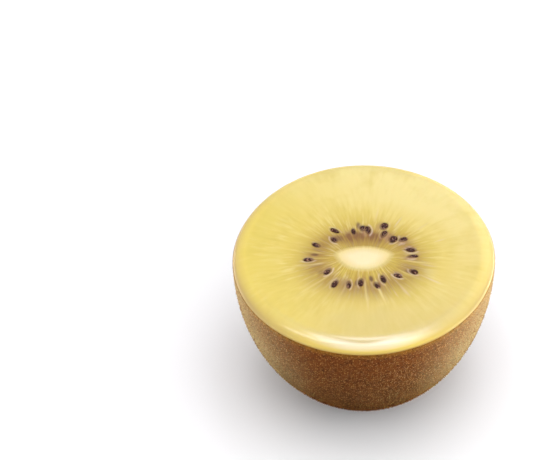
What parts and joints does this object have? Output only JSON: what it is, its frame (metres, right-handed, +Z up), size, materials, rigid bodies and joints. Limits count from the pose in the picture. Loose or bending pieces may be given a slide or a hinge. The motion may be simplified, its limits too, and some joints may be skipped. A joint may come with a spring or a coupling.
{
  "type": "golden kiwi fruit half",
  "caption": "Half of a yellow-fleshed kiwi fruit, cut crosswise and standing on its blunt stem end, with a glossy cut face, pale core, ring of dark seeds and thin downy brown skin.",
  "frame": {"origin": "centre of the flat spot on the blunt stem end that the half rests on", "axes": "+Z up along the fruit's own axis and out of the cut face, +X along the long way of the core's eye-shaped section"},
  "size_m": [0.0522, 0.0518, 0.0354],
  "materials": {
    "skin": "matte, thin dry brown peel covered in short fine down",
    "flesh": "wet, glossy, slightly see-through golden flesh with fine rays running out from the core",
    "core": "moist satin cream core",
    "seeds": "glossy dark purplish brown with a fine net of pits"
  },
  "bodies": {
    "root": {"skin": "skin", "flesh": "flesh", "core": "core"}
  },
  "joints": []
}
